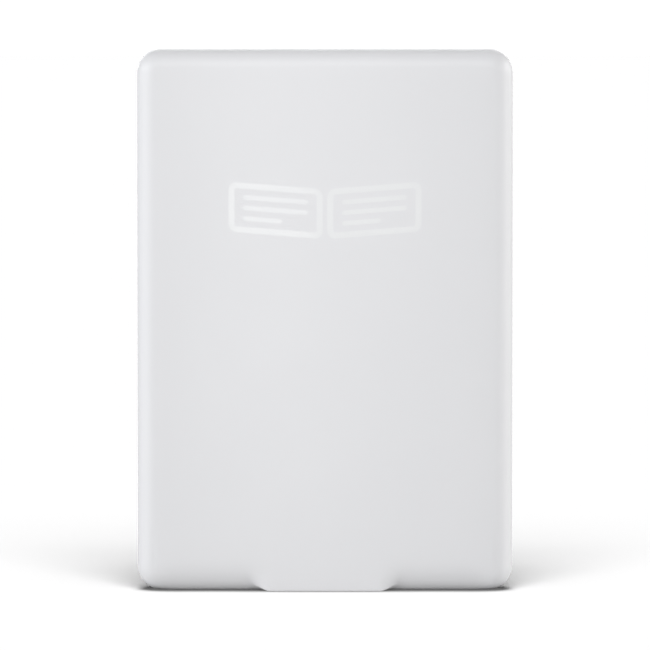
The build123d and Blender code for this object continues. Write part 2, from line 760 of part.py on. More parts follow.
def battery_plug():
    """Plug on the battery's wires."""
    left, right, bottom, top = PLUG
    return block((left, right), PLUG_DEPTH, (bottom, top))


def battery_socket():
    """Board socket that holds the plug on three sides."""
    left, right, bottom, top = PLUG
    play = 0.05
    body = block((left + 1.8, right + 2.0), (PLUG_DEPTH[0] - 0.2, BOARD_REAR), (bottom - 1.0, top + 1.0))
    depths = (PLUG_DEPTH[0] - play, BOARD_REAR - play)
    pocket = block((left, right + play), depths, (bottom - play, top + play))
    return body - pocket


def battery_adhesive():
    """Two strips of stretch tape under the battery."""
    left, right, bottom, top = CELL
    strips = [area(x - 6.0, x + 6.0, bottom + 6.0, top - 6.0) for x in row(left + 12.0, right - 12.0, 2)]
    return group(plate(strip, BATTERY_FRONT, PLATE_REAR) for strip in strips)


def battery_foam():
    """Two foam pads that keep the battery from rattling against the cover."""
    x = (CELL[0] + CELL[1]) / 2
    return group(plate(rounded(*FOAM_PAD, 2.0, x, z), COVER_INSIDE, BATTERY_REAR) for z in FOAM_HEIGHTS)


# ---------- Antenna ----------
def antenna():
    """Printed antenna film stuck inside the rear cover."""
    return plate(rounded(*ANTENNA_FILM, 1.0, *ANTENNA_PLACE), COVER_INSIDE, COVER_INSIDE + CABLE)


def antenna_connector():
    """Tiny round coaxial socket on the board."""
    radius, height = COAX_SOCKET
    return peg(*COAX_PORT, radius, BOARD_REAR - height, BOARD_REAR)


def antenna_plug():
    """Cap of the antenna cable, pressed onto the socket."""
    radius, height = COAX_CAP
    return peg(*COAX_PORT, radius, BOARD_REAR - height, BOARD_REAR - COAX_SOCKET[1])


def antenna_cable():
    """Thin coaxial cable from the board up to the antenna film."""
    x = COAX_PORT[0]
    start = BOARD_REAR - (COAX_SOCKET[1] + COAX_CAP[1]) / 2
    end = COVER_INSIDE + CABLE + COAX_RADIUS
    points = [(x, start, COAX_START), (x, start, COAX_START + 13.6)]
    points += [(turn_x, end, turn_z) for turn_x, turn_z in COAX_TURNS]
    return wire(points, COAX_RADIUS, COAX_BEND)


PARTS = [
    rear_cover, front_bezel, bezel_gasket, touch_panel, light_guide, display_film,
    display_backplane, display_adhesive, display_driver_chip, light_leds, display_flex, touch_flex,
    light_flex, display_connector, touch_connector, light_connector, mid_frame, frame_screws,
    board_screws, main_board, processor_chip, memory_chip, flash_chip, power_chip,
    display_power_chip, charger_chip, wireless_module, shield_frame, shield_lid, thermal_pad,
    clock_crystal, hall_sensor, inductors, capacitors, resistors, test_pads, usb_shell,
    usb_insulator, usb_tongue, usb_contacts, power_button, power_switch_plunger, power_switch_body,
    power_switch_dome, status_led, status_light_pipe, battery_cell, battery_protection_board,
    battery_lead_red, battery_lead_white, battery_lead_black, battery_plug, battery_socket,
    battery_adhesive, battery_foam, antenna, antenna_connector, antenna_plug, antenna_cable,
]

os.makedirs("parts", exist_ok=True)
for make in PARTS:
    export_step(make(), f"parts/{make.__name__}.step")
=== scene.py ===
"""Looks of a white e-reader that stands on its bottom edge. Everything is in metres, in the CAD frame.

X is the width, Y the thickness and Z the height. The rear cover faces -Y and the screen faces +Y.
"""

import json
import math
import random

import bmesh
import bpy
from mathutils import Matrix, Vector


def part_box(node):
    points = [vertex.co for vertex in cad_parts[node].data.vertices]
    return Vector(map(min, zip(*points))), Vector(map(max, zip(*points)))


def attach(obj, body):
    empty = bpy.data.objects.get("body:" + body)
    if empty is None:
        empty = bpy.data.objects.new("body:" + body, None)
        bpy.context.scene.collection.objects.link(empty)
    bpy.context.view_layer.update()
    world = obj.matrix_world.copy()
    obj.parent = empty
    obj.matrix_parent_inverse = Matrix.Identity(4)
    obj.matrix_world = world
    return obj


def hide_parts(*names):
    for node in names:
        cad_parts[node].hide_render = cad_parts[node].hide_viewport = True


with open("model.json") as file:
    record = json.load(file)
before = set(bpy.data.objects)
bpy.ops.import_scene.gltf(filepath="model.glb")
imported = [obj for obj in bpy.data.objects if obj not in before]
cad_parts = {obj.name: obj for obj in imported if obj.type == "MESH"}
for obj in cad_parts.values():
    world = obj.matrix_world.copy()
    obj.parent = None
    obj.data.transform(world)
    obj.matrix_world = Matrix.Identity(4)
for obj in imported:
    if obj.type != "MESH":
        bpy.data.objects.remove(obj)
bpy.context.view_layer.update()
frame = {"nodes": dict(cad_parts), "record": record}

MM = 0.001
CURVE_STEPS = 6                   # steps round a corner of an outline, where nothing else is said
FULL_ROUND = 0.999                # radius of a fully round end, as a share of its half height
CREASE_ANGLE = 35.0               # degrees: edges that turn by more than this stay sharp

# ---------- Places that come from the frame ----------
BEZEL_LOW, BEZEL_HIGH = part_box("front_bezel")
COVER_LOW, COVER_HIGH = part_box("rear_cover")
FILM_LOW, FILM_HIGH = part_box("display_film")
RIM = 0.02 * MM                   # the bezel shows this much round the cover
FLOOR = BEZEL_LOW.z
MIDDLE_Z = (BEZEL_LOW.z + BEZEL_HIGH.z) / 2
COVER_HALF_WIDTH = BEZEL_HIGH.x - RIM
COVER_HALF_HEIGHT = (BEZEL_HIGH.z - BEZEL_LOW.z) / 2 - RIM
COVER_BOTTOM = MIDDLE_Z - COVER_HALF_HEIGHT
PARTING_Y = COVER_HIGH.y

# ---------- Rear cover ----------
WALL = 1.2 * MM
COVER_CORNER = 7.38 * MM          # outline radius of the cover
INNER_CORNER = 1.5 * MM           # outline radius of its innermost rings
EDGE_RADIUS = 5.65 * MM           # rounding of the back edge
CROWN = 1.0 * MM                  # the back falls away this much towards its edges,
CROWN_WIDTH = 18 * MM             # over this much width
MARK_RISE = 0.02 * MM             # the printed mark stands this far out from the back
TAB_FLAT = 17.0 * MM              # half width of the flat tab
TAB_FOOT_LOW = 21.8 * MM          # half width at the foot of its slopes, at the bottom
TAB_FOOT_HIGH = 25.5 * MM         # the same, where the slopes run out
TAB_EDGE = 0.35 * MM              # rounding of the tab's back edge
BOTTOM_FALL = 4.35 * MM           # beside the tab, the back falls away this much down to its bottom edge
BOTTOM_HEIGHT = 10 * MM           # height over which it does so,
BOTTOM_POWER = 2.4                # ever more steeply
BOTTOM_RINGS = 0.75               # share of the edge's rings over the bottom edge; the others lie under it
BOTTOM_ROUND = 0.04               # rounding of the bottom edge, as a share of the rings
BOTTOM_HALF = 46 * MM             # half width of the bottom edge with this profile
BOTTOM_FADE = 10 * MM             # width over which it changes into the corner's plain rounding
EDGE_RINGS = 44                   # rings over the edge's rounding
CROWN_RINGS = 14                  # rings over the crown, inside the edge
CORNER_STEPS = 14
SIDE_STEPS = 40
SLOPE_STEPS = 20                  # steps over each slope of the tab
SLOPE_MARGIN = 2                  # steps of the same width beyond each end of a slope

# ---------- Openings in the tab's underside ----------
PORT_SHEET = 0.26 * MM            # metal sheet round the port's insulator
PORT_BEVEL = 0.9 * MM             # bevel of the port's two rear corners
PORT_GAP = 0.3 * MM               # gap between the port and the cover
PORT_CORNER = 0.55 * MM
BUTTON_FLANGE = 0.5 * MM          # the button is this much wider inside the cover
BUTTON_GAP = 0.15 * MM
BUTTON_STEPS = 12
PIPE_COLLAR = 0.4 * MM            # the light pipe is this much wider inside the cover
PIPE_GAP = 0.06 * MM
PIPE_STEPS = 8
FLARE = 0.16 * MM                 # small slope round each opening

# ---------- Printed mark on the back ----------
MARK_MIDDLE_Z = 119 * MM
MARK_WIDTH = 60 * MM
MARK_HEIGHT = 18 * MM
MARK_LEAN = 0.08                  # slope of the pages away from the fold
MARK_FOLD = 0.7 * MM              # half the gap at the fold
MARK_CORNER = 2.6 * MM
MARK_STROKE = 1.9 * MM            # width of the book's outline
MARK_LINE = 1.5 * MM              # height of a line on a page
MARK_LINES = 1.0, 1.0, 0.6        # lengths of the lines, as shares of the page's room
MARK_PITCH = 3.3 * MM
MARK_MARGIN = 4.6 * MM
MARK_STEPS = 8
MARK_SINK = 0.03 * MM             # how far the print reaches into the cover

# ---------- Page on the screen ----------
PAGE_SEED = 4                     # picks the lengths of the words and paragraphs
PAGE_MARGIN = 8.5 * MM
LINE_PITCH = 4.7 * MM
WORD_HEIGHT = 1.5 * MM
WORD_GAP = 1.7 * MM
WORD_LENGTHS = 3.2 * MM, 10.5 * MM
WORD_STEPS = 3
TITLE_LENGTH = 1 / 3              # shares of the page's width
LAST_LINE = 0.35, 0.8             # shortest and longest last line of a paragraph
FOOT_NOTE = 0.42                  # length of the bar at the page's foot
FOOT_BAR = 0.46, 0.54             # start and length of the thin bar beside it
TITLE_HEIGHT = 1.5 * WORD_HEIGHT
FOOT_NOTE_HEIGHT = 0.55 * WORD_HEIGHT
FOOT_BAR_HEIGHT = 0.2 * WORD_HEIGHT
FOOT_LEVEL = 0.8 * PAGE_MARGIN    # height of the foot over the film's edge
FOOT_ROOM = 1.5 * LINE_PITCH      # kept free over the margin, for the foot
PARAGRAPH_LINES = 4, 6            # fewest and most
INK_RISE = 0.006 * MM             # the words stand out this far from the film
FILM_CORNER = 0.5 * MM
FILM_RISE = 0.01 * MM             # the film's face clears the light guide's by this much

# ---------- Camera and stage ----------
VIEW_ELEVATION = 4.0              # degrees
VIEW_WIDTH = 202.65 * MM          # width of the picture at the object
AIM_DROP = 1.5 * MM               # the picture's middle is this far below the object's
LENS = 355.0
SENSOR = 36.0
CLIP_SHARE = 4                    # the camera sees this many times as far as the object's middle
LAMP_DISTANCE = 2.0
LEFT_TINT = 0.965, 0.98, 1.0
MIDDLE_TINT = 1.0, 1.0, 1.0
RIGHT_TINT = 1.0, 0.992, 0.98
FAR_LAMPS = (                     # azimuth, elevation and spread in degrees, then strength and tint
    ("left_front", -45, 20, 40, 0.11, LEFT_TINT),
    ("left_side", -80, 12, 50, 0.465, LEFT_TINT),
    ("left_rim", -108, 12, 40, 0.042, LEFT_TINT),
    ("front", 0, 35, 40, 0.2, MIDDLE_TINT),
    ("right_side", 80, 12, 50, 0.34, RIGHT_TINT),
    ("right_rim", 108, 12, 40, 0.33, RIGHT_TINT),
    ("back", 180, 8, 60, 0.5, MIDDLE_TINT),
)
STRIP_AZIMUTH = -9                # an upright strip of light close to the cover
STRIP_DISTANCE = 130 * MM
STRIP_WIDTH = 30 * MM
STRIP_HEIGHT = 1200 * MM
STRIP_STRENGTH = 1.48             # brightness of its face
FLOOR_LAMP_TURNS = -16, 16        # the floor's own lamps stand at each of these azimuths,
FLOOR_LAMP_RISES = 45, 60, 75     # at each of these elevations
FLOOR_LAMP_SPREAD = 24
FLOOR_LAMP_STRENGTH = 1.0
WORLD_TINT = 0.98, 0.99, 1.0
WORLD_LIGHT = 0.205
BACKGROUND = 1.1                  # brightness of the background for the camera
FLOOR_HALF = 12.0
FLOOR_GAP = 0.02 * MM             # keeps the floor out of the plane of the tab's underside
FLOOR_TONE = 0.19                 # how much of its light the camera sees the floor give back
BOUNCE = 0.12                     # how much the floor gives back to the object
FOOT_BOUNCE = 0.105               # the same at the object's foot
FOOT_SHADE = 16 * MM              # painted shade: how far from the foot the floor gives back less light to the object
CONTACT_REACH = 9 * MM            # painted contact shadow: the camera sees the floor darker where something is this close over it
CONTACT_TONE = 0.05               # share of its tone that is left there
CONTACT_GLOW = 0.15               # painted glow that the camera sees in the darkest places
CONTACT_COVER = 0.35, 0.8         # openness of the sky over the floor: fully dark, and fully light

# ---------- Materials ----------
NOISE_CORE = 0.3, 0.7             # most of a noise pattern's values lie between these
NOISE_MIDDLE = 0.35, 0.65         # the same, for a stronger contrast
WAVE_SCALE = math.pi / 10         # scale of the wave pattern at a pitch of 1
PATCH_GRAINS = 40                 # a patch of a finish is this many grains wide, where nothing else is said
GLOSS_SPREAD = 0.1                # the gloss goes up and down by this share


# ---------- Mesh helpers ----------
def bridge(mesh, first, second):
    """Quads between two rings of the same length."""
    count = len(first)
    for i in range(count):
        j = (i + 1) % count
        mesh.faces.new((first[i], first[j], second[j], second[i]))


def object_from(mesh, name):
    """Turns a bmesh into an object with its normals outward."""
    bmesh.ops.recalc_face_normals(mesh, faces=mesh.faces)
    data = bpy.data.meshes.new(name)
    mesh.to_mesh(data)
    mesh.free()
    piece = bpy.data.objects.new(name, data)
    bpy.context.scene.collection.objects.link(piece)
    return piece


def shade(piece):
    """Smooth shading, with creases along the sharp edges."""
    mesh = bmesh.new()
    mesh.from_mesh(piece.data)
    for face in mesh.faces:
        face.smooth = True
    for edge in mesh.edges:
        edge.smooth = len(edge.link_faces) == 2 and edge.calc_face_angle(0.0) < math.radians(CREASE_ANGLE)
    mesh.to_mesh(piece.data)
    mesh.free()


def rounded_outline(corners, radius, steps=CURVE_STEPS):
    """Rounds every corner of a closed outline of (x, y) points."""
    points = []
    count = len(corners)
    for i, corner in enumerate(corners):
        here = Vector(corner)
        before = (Vector(corners[i - 1]) - here).normalized()
        after = (Vector(corners[(i + 1) % count]) - here).normalized()
        half_angle = before.angle(after) / 2
        middle = here + (before + after).normalized() * (radius / math.sin(half_angle))
        start = here + before * (radius / math.tan(half_angle)) - middle
        end = here + after * (radius / math.tan(half_angle)) - middle
        turn = start.angle_signed(end)
        for step in range(steps + 1):
            spin = Matrix.Rotation(-turn * step / steps, 2)
            points.append(middle + spin @ start)
    return points


def rectangle(middle, half_width, half_height):
    """Corners of a rectangle, counter-clockwise."""
    x, y = middle
    signs = ((-1, -1), (1, -1), (1, 1), (-1, 1))
    return [(x + sx * half_width, y + sy * half_height) for sx, sy in signs]


def prism(name, layers):
    """A closed solid through outlines at several heights, each a list of (x, y) points and a height."""
    mesh = bmesh.new()
    rings = [[mesh.verts.new((x, y, z)) for x, y in outline] for outline, z in layers]
    for first, second in zip(rings, rings[1:]):
        bridge(mesh, first, second)
    mesh.faces.new(rings[0])
    mesh.faces.new(rings[-1])
    return object_from(mesh, name)


def cut(piece, cutter):
    """Takes one solid out of another for good."""
    change = piece.modifiers.new("cut", "BOOLEAN")
    change.operation = "DIFFERENCE"
    change.solver = "EXACT"
    change.object = cutter
    graph = bpy.context.evaluated_depsgraph_get()
    data = bpy.data.meshes.new_from_object(piece.evaluated_get(graph))
    piece.modifiers.clear()
    piece.data = data
    bpy.data.objects.remove(cutter)


def add_plate(mesh, outline, back, front):
    """Adds a thin plate in the XZ plane to a mesh, between two depths."""
    near = [mesh.verts.new((x, front, z)) for x, z in outline]
    far = [mesh.verts.new((x, back, z)) for x, z in outline]
    mesh.faces.new(near)
    mesh.faces.new(far)
    bridge(mesh, near, far)


def add_frame(mesh, outer, inner, back, front):
    """Adds a thin closed band between two outlines of the same length to a mesh."""
    loops = []
    for outline, depth in ((outer, back), (outer, front), (inner, front), (inner, back)):
        loops.append([mesh.verts.new((x, depth, z)) for x, z in outline])
    for first, second in zip(loops, loops[1:] + loops[:1]):
        bridge(mesh, first, second)


# ---------- Rear cover ----------
def stations(half):
    """Places along half a straight side as shares from -1 to 1, closer together at the tab's slopes."""
    step_width = (TAB_FOOT_HIGH - TAB_FLAT) / SLOPE_STEPS
    first, last = -SLOPE_MARGIN, SLOPE_STEPS + SLOPE_MARGIN
    dense = [TAB_FLAT + step_width * step for step in range(first, last + 1)]
    coarse = [half * step / SIDE_STEPS for step in range(1, SIDE_STEPS + 1)]
    clear = [x for x in coarse if x < dense[0] - step_width or x > dense[-1] + step_width]
    right = [x / half for x in sorted(clear + dense)]
    return [-x for x in reversed(right)] + [0.0] + right


def ring(inset):
    """Outline of the cover made smaller by a distance, as (x, z) points."""
    radius = max(COVER_CORNER - inset, INNER_CORNER)
    wide = COVER_HALF_WIDTH - inset - radius
    tall = COVER_HALF_HEIGHT - inset - radius
    level = stations(COVER_HALF_WIDTH - COVER_CORNER)
    upright = [step / SIDE_STEPS * 2 - 1 for step in range(SIDE_STEPS + 1)]
    arc = [math.pi / 2 * step / CORNER_STEPS for step in range(1, CORNER_STEPS)]
    points = [(share * wide, -tall - radius) for share in level]
    points += [(wide + radius * math.sin(a), -tall - radius * math.cos(a)) for a in arc]
    points += [(wide + radius, share * tall) for share in upright]
    points += [(wide + radius * math.cos(a), tall + radius * math.sin(a)) for a in arc]
    points += [(share * wide, tall + radius) for share in reversed(level)]
    points += [(-wide - radius * math.sin(a), tall + radius * math.cos(a)) for a in arc]
    points += [(-wide - radius, share * tall) for share in reversed(upright)]
    points += [(-wide - radius * math.cos(a), -tall - radius * math.sin(a)) for a in arc]
    return [(x, z + MIDDLE_Z) for x, z in points]


def smoothstep(share):
    """An even rise from 0 to 1."""
    share = min(max(share, 0.0), 1.0)
    return share * share * (3 - 2 * share)


def crown(inset):
    """How far the back has fallen away at a distance from the outline."""
    return CROWN * max(0.0, 1 - inset / CROWN_WIDTH) ** 3


def fall(height):
    """How much more the back has fallen away at a height over its bottom edge."""
    return BOTTOM_FALL * max(0.0, 1 - height / BOTTOM_HEIGHT) ** BOTTOM_POWER


def bottom_share(x, height):
    """1 along the bottom edge, and 0 at the sides and higher up."""
    level = smoothstep((abs(x) - BOTTOM_HALF) / BOTTOM_FADE)
    upright = smoothstep((height - BOTTOM_HEIGHT) / BOTTOM_HEIGHT)
    return (1 - level) * (1 - upright)


def tab_share(x, share, wall):
    """1 on the flat of the tab and 0 beyond the foot of its slopes."""
    foot = TAB_FOOT_HIGH + (TAB_FOOT_LOW - TAB_FOOT_HIGH) * share - wall
    flat = TAB_FLAT - wall
    return 1 - smoothstep((abs(x) - flat) / (foot - flat))


def profile(wall):
    """(inset, depth, share) of each ring, from the middle of the back out to the parting line."""
    back = COVER_LOW.y + MARK_RISE + wall
    radius = EDGE_RADIUS - wall
    rings = []
    for step in range(CROWN_RINGS):
        inset = EDGE_RADIUS + (CROWN_WIDTH - EDGE_RADIUS) * (1 - step / CROWN_RINGS)
        rings.append((inset, back + crown(inset), 0.0))
    for step in range(EDGE_RINGS + 1):
        angle = math.pi / 2 * (1 - step / EDGE_RINGS)
        inset = wall + radius * (1 - math.cos(angle))
        rings.append((inset, back + radius * (1 - math.sin(angle)) + crown(inset), step / EDGE_RINGS))
    return rings


def tab_point(share, wall):
    """(depth, height) on the tab's own profile: down its back, round its edge, then along its underside."""
    back = COVER_LOW.y + MARK_RISE + wall
    radius = max(TAB_EDGE - wall, TAB_EDGE / 2)
    low = FLOOR + wall
    top = COVER_BOTTOM + EDGE_RADIUS
    down = top - low - radius
    bend = radius * math.pi / 2
    along = profile(wall)[-1][1] - back - radius
    way = share * (down + bend + along)
    if way < down:
        return back, top - way
    if way < down + bend:
        angle = (way - down) / radius
        return back + radius * (1 - math.cos(angle)), low + radius * (1 - math.sin(angle))
    return back + radius + way - down - bend, low


def with_tab(x, depth, height, share, wall):
    """Moves a point of the bottom edge onto the tab, with a smooth slope at each side."""
    weight = tab_share(x, share, wall)
    tab_depth, tab_height = tab_point(share, wall)
    if share == 0:
        tab_height = height
    return depth + (tab_depth - depth) * weight, height + (tab_height - height) * weight


def bottom_path(share, wall):
    """(inset, depth) along the bottom edge: down the steepening back, then along the underside."""
    back = COVER_LOW.y + MARK_RISE + wall
    if share < BOTTOM_RINGS:
        inset = EDGE_RADIUS + (wall - EDGE_RADIUS) * share / BOTTOM_RINGS
        return inset, back + crown(inset) + fall(inset)
    start = back + crown(wall) + fall(wall)
    end = profile(wall)[-1][1]
    return wall, start + (end - start) * (share - BOTTOM_RINGS) / (1 - BOTTOM_RINGS)


def bottom_point(share, wall):
    """(inset, depth) on the bottom edge with its corner rounded off."""
    reach = min(BOTTOM_ROUND, share, 1 - share)
    ends = [bottom_path(share + side * reach, wall) for side in (-1, 1)]
    return [sum(values) / len(ends) for values in zip(*ends)]


def cover_surface(mesh, wall):
    """Adds the rings of the outer surface (wall 0) or the inner one, and returns them."""
    rings = []
    for inset, depth, share in profile(wall):
        new_inset, new_depth = bottom_point(share, wall)
        points = []
        for x, z in ring(inset):
            height = z - COVER_BOTTOM
            weight = bottom_share(x, height)
            if share > 0:
                y = depth + (new_depth - depth) * weight
                z += (new_inset - inset) * weight
            else:
                y = depth + fall(height) * weight
            if height < CROWN_WIDTH and abs(x) < TAB_FOOT_HIGH:
                y, z = with_tab(x, y, z, share, wall)
            points.append(mesh.verts.new((x, y, z)))
        rings.append(points)
    rings.append([mesh.verts.new((v.co.x, PARTING_Y, v.co.z)) for v in rings[-1]])
    return rings


def node_span(node):
    """Middle, half width and half depth of a node, seen from below."""
    low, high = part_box(node)
    middle = (low.x + high.x) / 2, (low.y + high.y) / 2
    return middle, (high.x - low.x) / 2, (high.y - low.y) / 2


def port_opening(flare):
    """Outline of the cover's opening for the charging port, with two bevelled corners."""
    (x, y), half_width, half_depth = node_span("usb_insulator")
    grow = PORT_GAP + flare
    half_width += PORT_SHEET + grow
    half_depth += PORT_SHEET + grow
    bevel = PORT_BEVEL + grow * (2 - math.sqrt(2))
    corners = [
        (x - half_width + bevel, y - half_depth),
        (x + half_width - bevel, y - half_depth),
        (x + half_width, y - half_depth + bevel),
        (x + half_width, y + half_depth),
        (x - half_width, y + half_depth),
        (x - half_width, y - half_depth + bevel),
    ]
    return rounded_outline(corners, PORT_CORNER + flare)


def button_opening(flare):
    """Outline of the cover's opening for the power button."""
    middle, half_width, half_depth = node_span("power_button")
    grow = BUTTON_GAP - BUTTON_FLANGE + flare
    half_depth += grow
    corners = rectangle(middle, half_width + grow, half_depth)
    return rounded_outline(corners, half_depth * FULL_ROUND, BUTTON_STEPS)


def lamp_opening(flare):
    """Outline of the cover's opening for the status light."""
    middle, half_width, _ = node_span("status_light_pipe")
    radius = half_width - PIPE_COLLAR + PIPE_GAP + flare
    return rounded_outline(rectangle(middle, radius, radius), radius * FULL_ROUND, PIPE_STEPS)


def opening_cutter(outline):
    """A cutter through the tab's underside, with a flared mouth. The flare starts below the surface."""
    mouth = outline(2 * FLARE), FLOOR - FLARE
    throat = outline(0), FLOOR + FLARE
    end = outline(0), FLOOR + 2 * WALL
    return prism("cutter", [mouth, throat, end])


def rear_shell():
    """The moulded rear cover as one smooth closed shell."""
    mesh = bmesh.new()
    outer = cover_surface(mesh, 0.0)
    inner = cover_surface(mesh, WALL)
    for rings in (outer, inner):
        mesh.faces.new(rings[0])
        for first, second in zip(rings, rings[1:]):
            bridge(mesh, first, second)
    bridge(mesh, outer[-1], inner[-1])
    shell = object_from(mesh, "rear_shell")
    for outline in (port_opening, button_opening, lamp_opening):
        cut(shell, opening_cutter(outline))
    shade(shell)
    return shell


# ---------- Printed mark: a plain open book ----------
def leaned(side, points):
    """Mirrors points for one page (side -1 or 1), slopes them up from the fold and lifts them to place."""
    drop = MARK_LEAN * MARK_WIDTH / 4
    return [(side * x, z + MARK_LEAN * x + MARK_MIDDLE_Z - drop) for x, z in points]


def book_page(side, shrink):
    """Outline of one page, made smaller by a distance."""
    half_width = (MARK_WIDTH / 2 - MARK_FOLD) / 2
    half_height = (MARK_HEIGHT - MARK_LEAN * MARK_WIDTH / 2) / 2
    corners = rectangle((MARK_FOLD + half_width, 0), half_width - shrink, half_height - shrink)
    return leaned(side, rounded_outline(corners, MARK_CORNER - shrink, MARK_STEPS))


def page_line(side, level, share):
    """Outline of one line on a page of the mark. It starts at the margin on the viewer's left."""
    room = MARK_WIDTH / 2 - MARK_FOLD - 2 * MARK_MARGIN
    half = MARK_LINE / 2
    near, far = MARK_FOLD + MARK_MARGIN, MARK_FOLD + MARK_MARGIN + room
    start, end = (near, near + room * share) if side > 0 else (far - room * share, far)
    corners = rectangle(((start + end) / 2, level), (end - start) / 2, half)
    return leaned(side, rounded_outline(corners, half * FULL_ROUND, MARK_STEPS))


def printed_mark():
    """A generic glossy print: the outline of an open book with three lines on each page."""
    mesh = bmesh.new()
    back, front = COVER_LOW.y + MARK_RISE + MARK_SINK, COVER_LOW.y
    for side in (-1, 1):
        add_frame(mesh, book_page(side, 0.0), book_page(side, MARK_STROKE), back, front)
        for row, share in enumerate(MARK_LINES):
            add_plate(mesh, page_line(side, MARK_PITCH * (1 - row), share), back, front)
    return object_from(mesh, "printed_mark")


# ---------- Page on the screen ----------
def add_word(mesh, start, length, level, height):
    """Adds one word of the page as a bar with round ends."""
    middle = start + length / 2, level
    corners = rectangle(middle, length / 2, height / 2)
    outline = rounded_outline(corners, height / 2 * FULL_ROUND, WORD_STEPS)
    flipped = [(-x, z) for x, z in outline]
    face = FILM_HIGH.y + FILM_RISE
    add_plate(mesh, flipped, face - INK_RISE, face + INK_RISE)


def add_line(mesh, chance, start, end, level):
    """Adds words of chance lengths from one place to another."""
    while start < end - WORD_LENGTHS[0]:
        length = min(chance.uniform(*WORD_LENGTHS), end - start)
        add_word(mesh, start, length, level, WORD_HEIGHT)
        start += length + WORD_GAP


def screen_film():
    """The ink film. Its face stands just proud, so that it isn't in one plane with the light guide's."""
    middle = (FILM_LOW.x + FILM_HIGH.x) / 2, (FILM_LOW.z + FILM_HIGH.z) / 2
    corners = rectangle(middle, (FILM_HIGH.x - FILM_LOW.x) / 2, (FILM_HIGH.z - FILM_LOW.z) / 2)
    mesh = bmesh.new()
    add_plate(mesh, rounded_outline(corners, FILM_CORNER), FILM_LOW.y, FILM_HIGH.y + FILM_RISE)
    return object_from(mesh, "screen_film")


def screen_page():
    """A page of plain bars in place of words, as the screen keeps it without power. It reads from +Y."""
    chance = random.Random(PAGE_SEED)
    mesh = bmesh.new()
    left, right = FILM_LOW.x + PAGE_MARGIN, FILM_HIGH.x - PAGE_MARGIN
    width = right - left
    title = width * TITLE_LENGTH
    level = FILM_HIGH.z - PAGE_MARGIN - LINE_PITCH
    add_word(mesh, -title / 2, title, level, TITLE_HEIGHT)
    level -= LINE_PITCH * 2
    lowest = FILM_LOW.z + PAGE_MARGIN + FOOT_ROOM
    while level > lowest:
        lines = chance.randint(*PARAGRAPH_LINES)
        for line in range(lines):
            end = right if line < lines - 1 else left + width * chance.uniform(*LAST_LINE)
            start = left + (LINE_PITCH if line == 0 else 0)
            add_line(mesh, chance, start, end, level)
            level -= LINE_PITCH
            if level < lowest:
                break
    foot = FILM_LOW.z + FOOT_LEVEL
    bar_start, bar_length = FOOT_BAR
    add_word(mesh, left, width * FOOT_NOTE, foot, FOOT_NOTE_HEIGHT)
    add_word(mesh, left + width * bar_start, width * bar_length, foot, FOOT_BAR_HEIGHT)
    return object_from(mesh, "screen_page")


# ---------- Materials ----------
def node(tree, kind, inputs=None, **settings):
    """Adds a shader node. Inputs may be values or sockets to link."""
    made = tree.nodes.new(kind)
    for key, value in settings.items():
        setattr(made, key, value)
    for key, value in (inputs or {}).items():
        if isinstance(value, bpy.types.NodeSocket):
            tree.links.new(value, made.inputs[key])
        else:
            made.inputs[key].default_value = value
    return made


def empty_tree(owner):
    """The node tree of a material or world, without its nodes."""
    owner.use_nodes = True
    owner.node_tree.nodes.clear()
    return owner.node_tree


def new_material(name):
    """An empty material with a Principled shader. Returns it with its tree, shader and coordinates."""
    material = bpy.data.materials.new(name)
    tree = empty_tree(material)
    shader = node(tree, "ShaderNodeBsdfPrincipled")
    node(tree, "ShaderNodeOutputMaterial", {"Surface": shader.outputs["BSDF"]})
    place = node(tree, "ShaderNodeTexCoord").outputs["Object"]
    return material, tree, shader, place


def colour(value):
    """A grey, or red, green and blue, as a shader colour."""
    channels = (value,) * 3 if isinstance(value, float) else value
    return (*channels, 1.0)


def noise(tree, place, size, detail=2.0):
    """Noise whose grains are about a size in metres."""
    inputs = {"Vector": place, "Scale": 1 / size, "Detail": detail}
    return node(tree, "ShaderNodeTexNoise", inputs).outputs["Fac"]


def cells(tree, place, size, randomness=1.0):
    """Distance in a pattern of cells of a size in metres."""
    inputs = {"Vector": place, "Scale": 1 / size, "Randomness": randomness}
    return node(tree, "ShaderNodeTexVoronoi", inputs).outputs["Distance"]


def stripes(tree, place, size, direction="X", distortion=0.0):
    """Even stripes with a pitch in metres."""
    inputs = {"Vector": place, "Scale": WAVE_SCALE / size, "Distortion": distortion}
    return node(tree, "ShaderNodeTexWave", inputs, bands_direction=direction).outputs["Fac"]


def stretched(tree, place, scale):
    """Coordinates scaled along each axis."""
    return node(tree, "ShaderNodeMapping", {"Vector": place, "Scale": scale}).outputs["Vector"]


def levels(tree, value, low, high, start=0.0, end=1.0):
    """Maps a value from low..high to start..end, without going past them."""
    inputs = {"Value": value, "From Min": low, "From Max": high, "To Min": start, "To Max": end}
    return node(tree, "ShaderNodeMapRange", inputs).outputs["Result"]


def maths(tree, operation, *values):
    """The result of one operation on values or sockets."""
    return node(tree, "ShaderNodeMath", dict(enumerate(values)), operation=operation).outputs["Value"]


def blend_values(tree, share, first, second):
    """A mix of two numbers or number sockets."""
    return node(tree, "ShaderNodeMix", {0: share, 2: first, 3: second}).outputs[0]


def blend_colours(tree, share, first, second):
    """A mix of two colours or colour sockets."""
    made = node(tree, "ShaderNodeMix", {0: share}, data_type="RGBA")
    for socket, value in ((made.inputs[6], first), (made.inputs[7], second)):
        if isinstance(value, bpy.types.NodeSocket):
            tree.links.new(value, socket)
        else:
            socket.default_value = colour(value)
    return made.outputs[2]


def relief(tree, shader, height, depth, strength=1.0):
    """Bump from a height socket, with its depth in metres."""
    inputs = {"Height": height, "Distance": depth, "Strength": strength}
    normal = node(tree, "ShaderNodeBump", inputs).outputs["Normal"]
    tree.links.new(normal, shader.inputs["Normal"])


def set_sockets(shader, sockets):
    """Sets plain values on the shader's own sockets."""
    for key, value in sockets.items():
        shader.inputs[key].default_value = value


